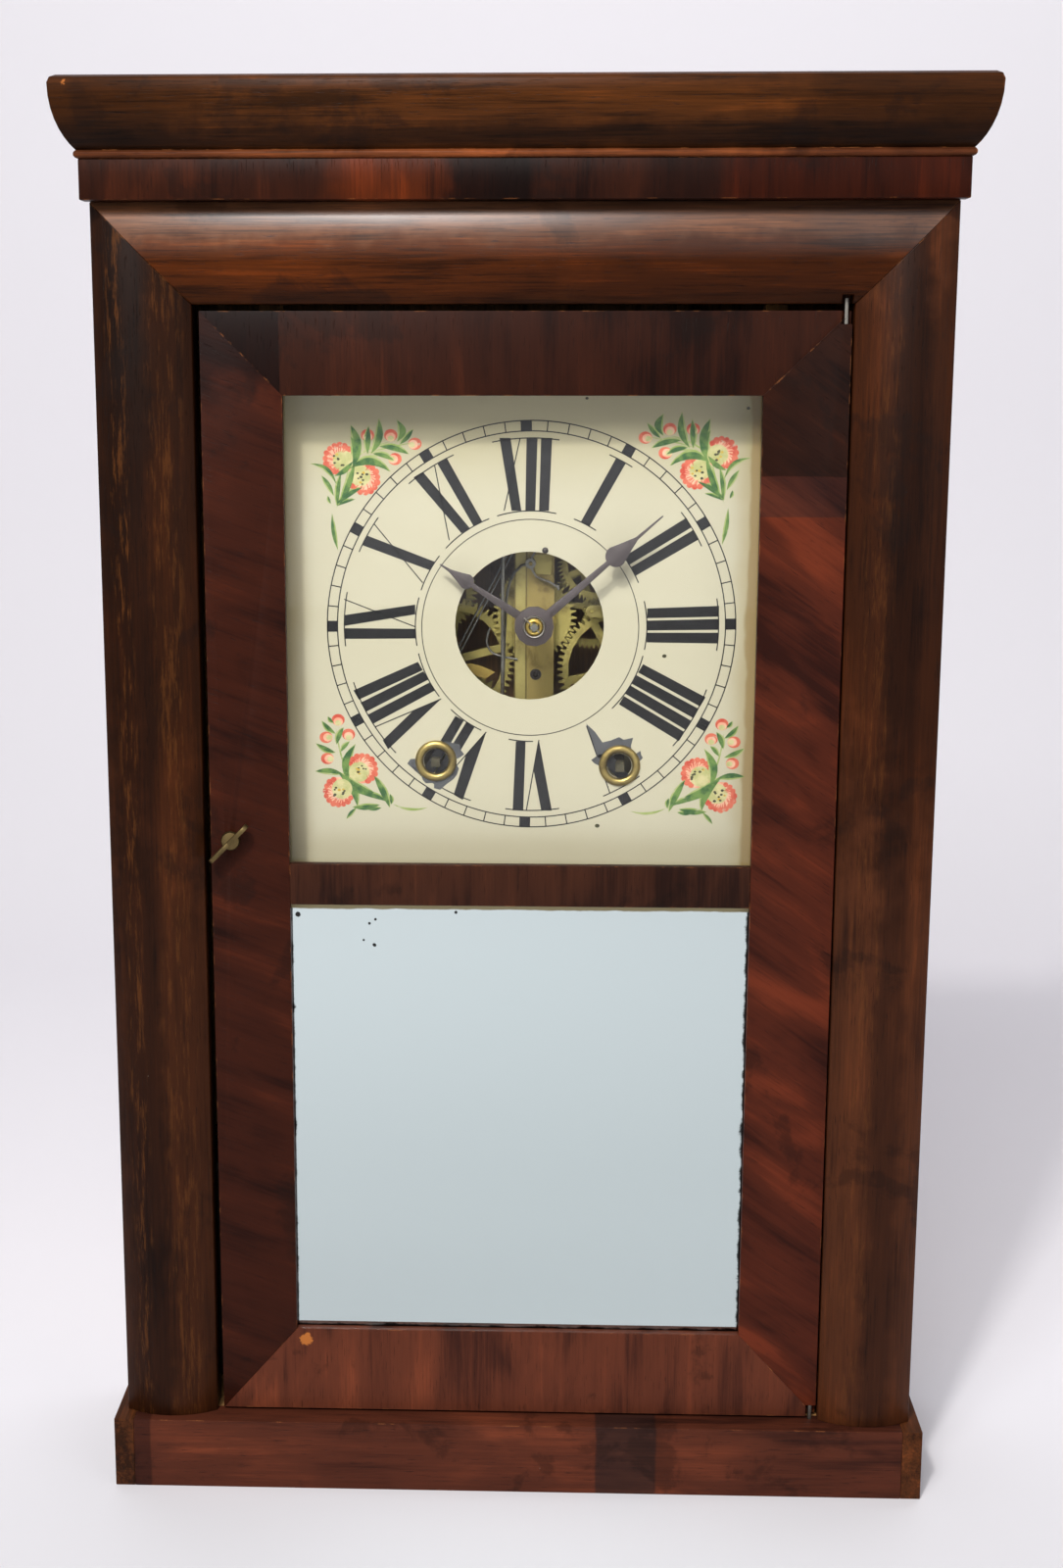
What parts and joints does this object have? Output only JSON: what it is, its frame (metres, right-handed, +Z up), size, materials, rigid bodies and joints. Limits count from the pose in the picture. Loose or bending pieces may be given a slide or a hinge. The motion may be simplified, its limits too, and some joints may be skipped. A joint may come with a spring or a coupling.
{
  "type": "shelf clock",
  "caption": "Weight-driven shelf clock in a moulded, veneered case with a glazed door, a mirror below, and an open-centred painted dial that shows the movement.",
  "frame": {"origin": "on the floor under the middle of the clock's outer box", "axes": "+Z up, front of the clock faces -Y, +X to the right as seen from the front"},
  "size_m": [0.4198, 0.125, 0.6826],
  "materials": {
    "walnut": "dark worn varnish over long-grain veneer",
    "mahogany": "red-brown varnish over cross-grain veneer",
    "pine": "bare aged softwood",
    "brass": "aged and tarnished",
    "steel": "dull",
    "dark_steel": "purplish brown, aged",
    "iron": "rough casting",
    "dial_paint": "old cream paint",
    "glass": "clear old sheet glass",
    "mirror": "silvered glass, spotted"
  },
  "bodies": {
    "case": {"base_front": "mahogany", "base_side_left": "walnut", "base_side_right": "walnut", "bottom_board": "pine", "side_board_left": "walnut", "side_board_right": "walnut", "top_board": "pine", "backboard": "pine", "moulding_left": "walnut", "moulding_right": "walnut", "moulding_top": "walnut", "frieze_board": "mahogany", "cornice_front": "walnut", "cornice_return_left": "walnut", "cornice_return_right": "walnut", "dial_strip_left": "pine", "dial_strip_right": "pine", "movement_rail_left": "pine", "movement_rail_right": "pine", "dial": "dial_paint", "gong_post": "iron", "gong_coil": "steel", "front_plate": "brass", "back_plate": "brass", "suspension_post": "brass"},
    "door": {"door_stile_left": "mahogany", "door_stile_right": "mahogany", "door_rail_top": "mahogany", "door_rail_middle": "mahogany", "door_rail_bottom": "mahogany", "door_glass": "glass", "mirror": "mirror", "mirror_backing": "pine", "hinge_pin_top": "steel", "hinge_pin_bottom": "steel"},
    "latch": {"latch": "brass"},
    "minute_hand_and_arbor": {"centre_arbor": "brass", "minute_hand": "dark_steel"},
    "hour_hand_and_wheel": {"hour_wheel": "brass", "hour_hand": "dark_steel"},
    "minute_wheel": {"minute_wheel": "brass"},
    "second_wheel": {"second_wheel": "brass"},
    "third_wheel": {"third_wheel": "brass"},
    "escape_wheel": {"escape_wheel": "brass"},
    "great_wheel_time": {"great_wheel_time": "brass"},
    "great_wheel_strike": {"great_wheel_strike": "brass"},
    "drum_time": {"drum_time": "brass"},
    "drum_strike": {"drum_strike": "brass"},
    "pin_wheel": {"pin_wheel": "brass"},
    "warning_wheel": {"warning_wheel": "brass"},
    "fly": {"fly": "brass"},
    "count_wheel": {"count_wheel": "brass"},
    "weight_left": {"weight_left": "iron"},
    "weight_right": {"weight_right": "iron"},
    "pulley_left": {"pulley_left": "brass"},
    "pulley_right": {"pulley_right": "brass"},
    "pendulum": {"pendulum_rod": "steel", "pendulum_bob": "brass"},
    "verge": {"verge": "steel"},
    "hammer": {"hammer": "steel"}
  },
  "joints": [
    {"name": "door_hinge", "type": "hinge", "parent": "case", "child": "door", "pos_m": [0.1478, -0.0379, 0.309], "axis": [0, 0, 1], "range_deg": [0, 110]},
    {"name": "latch_turn", "type": "hinge", "parent": "door", "child": "latch", "pos_m": [-0.1388, -0.0325, 0.332], "axis": [0, 1, 0], "range_deg": [-90, 0]},
    {"name": "minute_turn", "type": "hinge", "parent": "case", "child": "minute_hand_and_arbor", "pos_m": [0.0066, 0.0075, 0.4344], "axis": [0, 1, 0], "continuous": true},
    {"name": "hour_turn", "type": "hinge", "parent": "case", "child": "hour_hand_and_wheel", "pos_m": [0.0066, 0.0075, 0.4344], "axis": [0, 1, 0], "continuous": true},
    {"name": "minute_wheel_turn", "type": "hinge", "parent": "case", "child": "minute_wheel", "pos_m": [0.0011, 0.0075, 0.4464], "axis": [0, 1, 0], "continuous": true},
    {"name": "second_wheel_turn", "type": "hinge", "parent": "case", "child": "second_wheel", "pos_m": [0.0494, 0.0075, 0.4085], "axis": [0, 1, 0], "continuous": true},
    {"name": "third_wheel_turn", "type": "hinge", "parent": "case", "child": "third_wheel", "pos_m": [0.0346, 0.0075, 0.4384], "axis": [0, 1, 0], "continuous": true},
    {"name": "escape_wheel_turn", "type": "hinge", "parent": "case", "child": "escape_wheel", "pos_m": [0.0366, 0.0075, 0.4609], "axis": [0, 1, 0], "continuous": true},
    {"name": "great_wheel_time_turn", "type": "hinge", "parent": "case", "child": "great_wheel_time", "pos_m": [0.0485, 0.0075, 0.3654], "axis": [0, 1, 0], "continuous": true},
    {"name": "strike_turn", "type": "hinge", "parent": "case", "child": "pin_wheel", "pos_m": [-0.0345, 0.0075, 0.4124], "axis": [0, 1, 0], "continuous": true},
    {"name": "great_wheel_strike_turn", "type": "hinge", "parent": "case", "child": "great_wheel_strike", "pos_m": [-0.0409, 0.0075, 0.3672], "axis": [0, 1, 0], "continuous": true},
    {"name": "warning_wheel_turn", "type": "hinge", "parent": "case", "child": "warning_wheel", "pos_m": [-0.0412, 0.0075, 0.4451], "axis": [0, 1, 0], "continuous": true},
    {"name": "fly_turn", "type": "hinge", "parent": "case", "child": "fly", "pos_m": [-0.0342, 0.0075, 0.4648], "axis": [0, 1, 0], "continuous": true},
    {"name": "count_wheel_turn", "type": "hinge", "parent": "case", "child": "count_wheel", "pos_m": [-0.0519, 0.0075, 0.424], "axis": [0, 1, 0], "continuous": true},
    {"name": "weight_time_slide", "type": "slide", "parent": "case", "child": "weight_right", "axis": [0, 0, 1], "range_m": [0, 0.34]},
    {"name": "drum_time_turn", "type": "hinge", "parent": "case", "child": "drum_time", "pos_m": [0.0485, 0.0075, 0.3654], "axis": [0, 1, 0], "range_deg": [-1030, 0]},
    {"name": "pulley_time_turn", "type": "hinge", "parent": "case", "child": "pulley_right", "pos_m": [0.14, 0.0215, 0.6492], "axis": [0, 1, 0], "range_deg": [-1220, 0]},
    {"name": "weight_strike_slide", "type": "slide", "parent": "case", "child": "weight_left", "axis": [0, 0, 1], "range_m": [0, 0.34]},
    {"name": "drum_strike_turn", "type": "hinge", "parent": "case", "child": "drum_strike", "pos_m": [-0.0409, 0.0075, 0.3672], "axis": [0, 1, 0], "range_deg": [-1030, 0]},
    {"name": "pulley_strike_turn", "type": "hinge", "parent": "case", "child": "pulley_left", "pos_m": [-0.14, 0.0215, 0.6492], "axis": [0, 1, 0], "range_deg": [0, 1220]},
    {"name": "pendulum_swing", "type": "hinge", "parent": "case", "child": "pendulum", "pos_m": [-0.0088, -0.0021, 0.5024], "axis": [0, 1, 0], "range_deg": [-2.5, 2.5]},
    {"name": "verge_rock", "type": "hinge", "parent": "case", "child": "verge", "pos_m": [0.0046, 0.0027, 0.462], "axis": [0, 1, 0], "range_deg": [-3.8, 3.8]},
    {"name": "hammer_lift", "type": "hinge", "parent": "case", "child": "hammer", "pos_m": [0.0023, 0.0075, 0.3744], "axis": [0, 1, 0], "range_deg": [0, 10]}
  ],
  "couplings": [
    {"joint": "hour_turn", "follows": "minute_turn", "ratio": 0.083333},
    {"joint": "minute_wheel_turn", "follows": "minute_turn", "ratio": -0.3},
    {"joint": "second_wheel_turn", "follows": "minute_turn", "ratio": -0.65},
    {"joint": "third_wheel_turn", "follows": "minute_turn", "ratio": 6.5},
    {"joint": "escape_wheel_turn", "follows": "minute_turn", "ratio": -59.583},
    {"joint": "great_wheel_time_turn", "follows": "minute_turn", "ratio": 0.08125},
    {"joint": "great_wheel_strike_turn", "follows": "strike_turn", "ratio": -0.125},
    {"joint": "warning_wheel_turn", "follows": "strike_turn", "ratio": -10},
    {"joint": "fly_turn", "follows": "strike_turn", "ratio": 66.667},
    {"joint": "count_wheel_turn", "follows": "strike_turn", "ratio": -0.16667},
    {"joint": "drum_time_turn", "follows": "weight_time_slide", "rad_per_m": -52.632},
    {"joint": "pulley_time_turn", "follows": "weight_time_slide", "rad_per_m": -62.5},
    {"joint": "drum_strike_turn", "follows": "weight_strike_slide", "rad_per_m": -52.632},
    {"joint": "pulley_strike_turn", "follows": "weight_strike_slide", "rad_per_m": 62.5},
    {"joint": "verge_rock", "follows": "pendulum_swing", "ratio": 1.5127}
  ]
}
